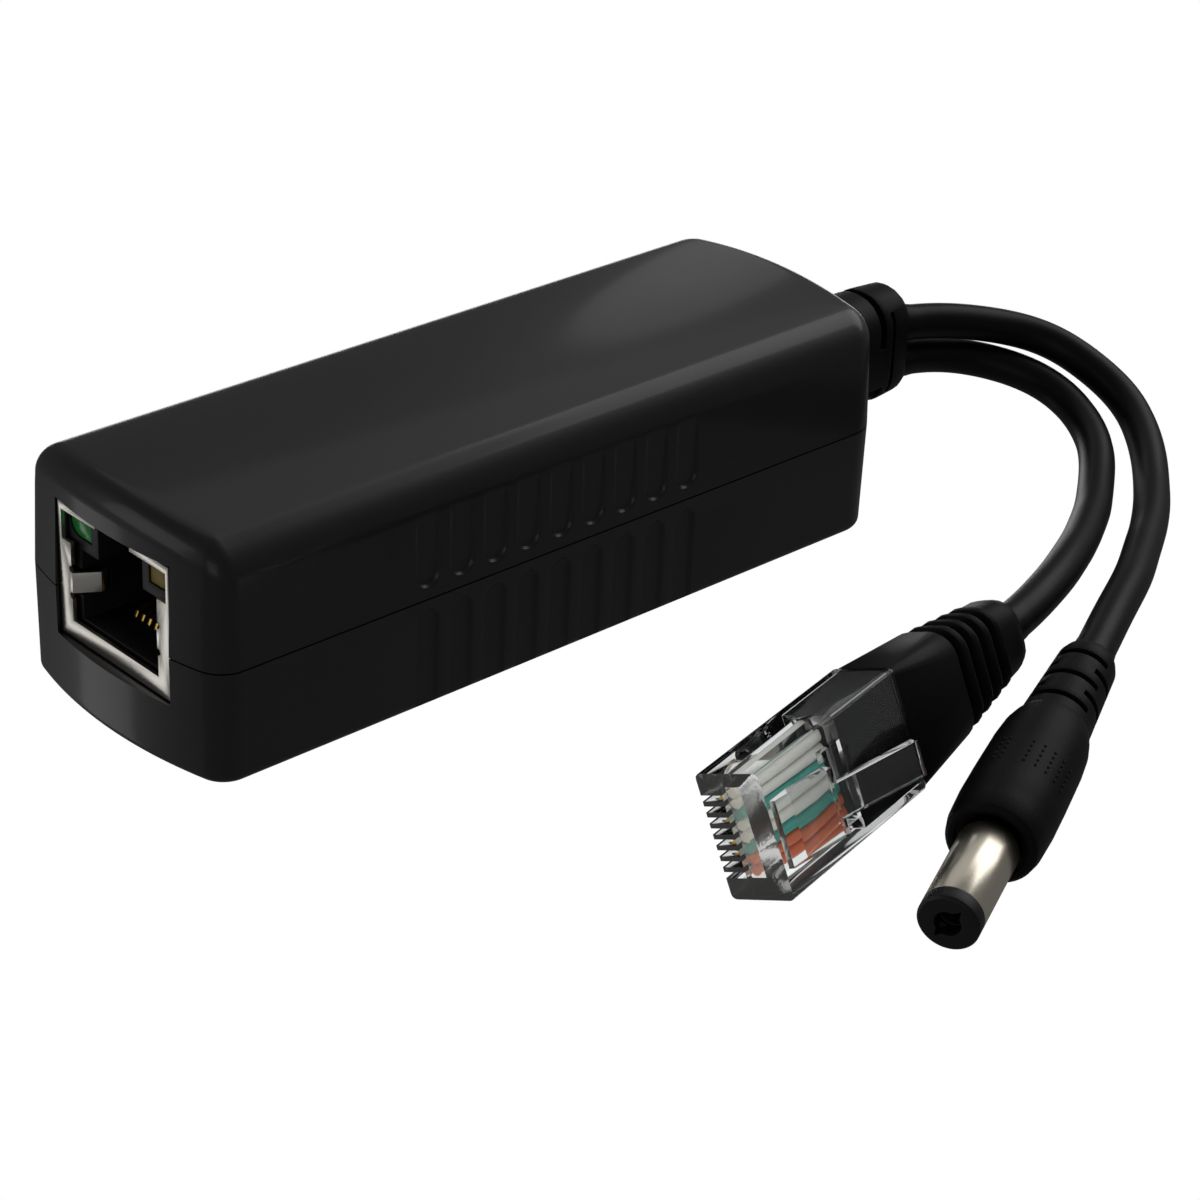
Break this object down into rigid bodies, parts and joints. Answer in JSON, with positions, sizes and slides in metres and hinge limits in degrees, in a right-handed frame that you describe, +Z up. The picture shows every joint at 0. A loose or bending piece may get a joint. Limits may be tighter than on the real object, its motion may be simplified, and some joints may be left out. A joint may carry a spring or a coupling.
{
  "type": "poe splitter",
  "caption": "Slim two-shell housing with a network jack at one end and two short captive leads at the other, a network plug and a barrel plug.",
  "frame": {"origin": "middle of the housing's flat bottom, on the table that the housing and both plugs lie on", "axes": "+X along the housing from the network jack towards the leads, +Y across it away from the loose plugs, +Z up"},
  "size_m": [0.1212, 0.089, 0.0243],
  "materials": {
    "housing": "black satin moulding",
    "board": "green solder mask",
    "shield": "tin plated sheet",
    "insert": "black glass-filled moulding",
    "gold_contact": "gold flash",
    "green_lens": "clear green moulding",
    "amber_lens": "clear amber moulding",
    "component_body": "black epoxy",
    "ferrite": "bare ferrite",
    "coil_tape": "yellow film tape",
    "capacitor_sleeve": "dark blue shrink sleeve",
    "inner_lead": "insulated wire",
    "moulded_pvc": "black soft moulding",
    "cord_pvc": "black satin jacket",
    "clear_plastic": "clear polycarbonate",
    "wire_teal": "insulated wire",
    "nickel": "nickel plated brass"
  },
  "bodies": {
    "root": {"upper_shell": "housing", "lower_shell": "housing", "circuit_board": "board", "jack_shield": "shield", "jack_insert": "insert", "jack_contacts": "gold_contact", "green_lens": "green_lens", "amber_lens": "amber_lens", "signal_transformer": "component_body", "power_transformer_core": "ferrite", "power_transformer_coil": "coil_tape", "storage_inductor": "ferrite", "input_capacitor": "capacitor_sleeve", "output_capacitors": "capacitor_sleeve", "rectifiers": "component_body", "controller_chip": "component_body", "inner_leads": "inner_lead", "cord_gland": "moulded_pvc", "power_cord": "cord_pvc", "data_cord": "cord_pvc", "plug_shell": "clear_plastic", "plug_blades": "gold_contact", "plug_wires": "wire_teal", "plug_boot": "moulded_pvc", "barrel_sleeve": "nickel", "barrel_insulator": "insert", "barrel_contact": "nickel", "barrel_grip": "moulded_pvc"}
  },
  "joints": []
}
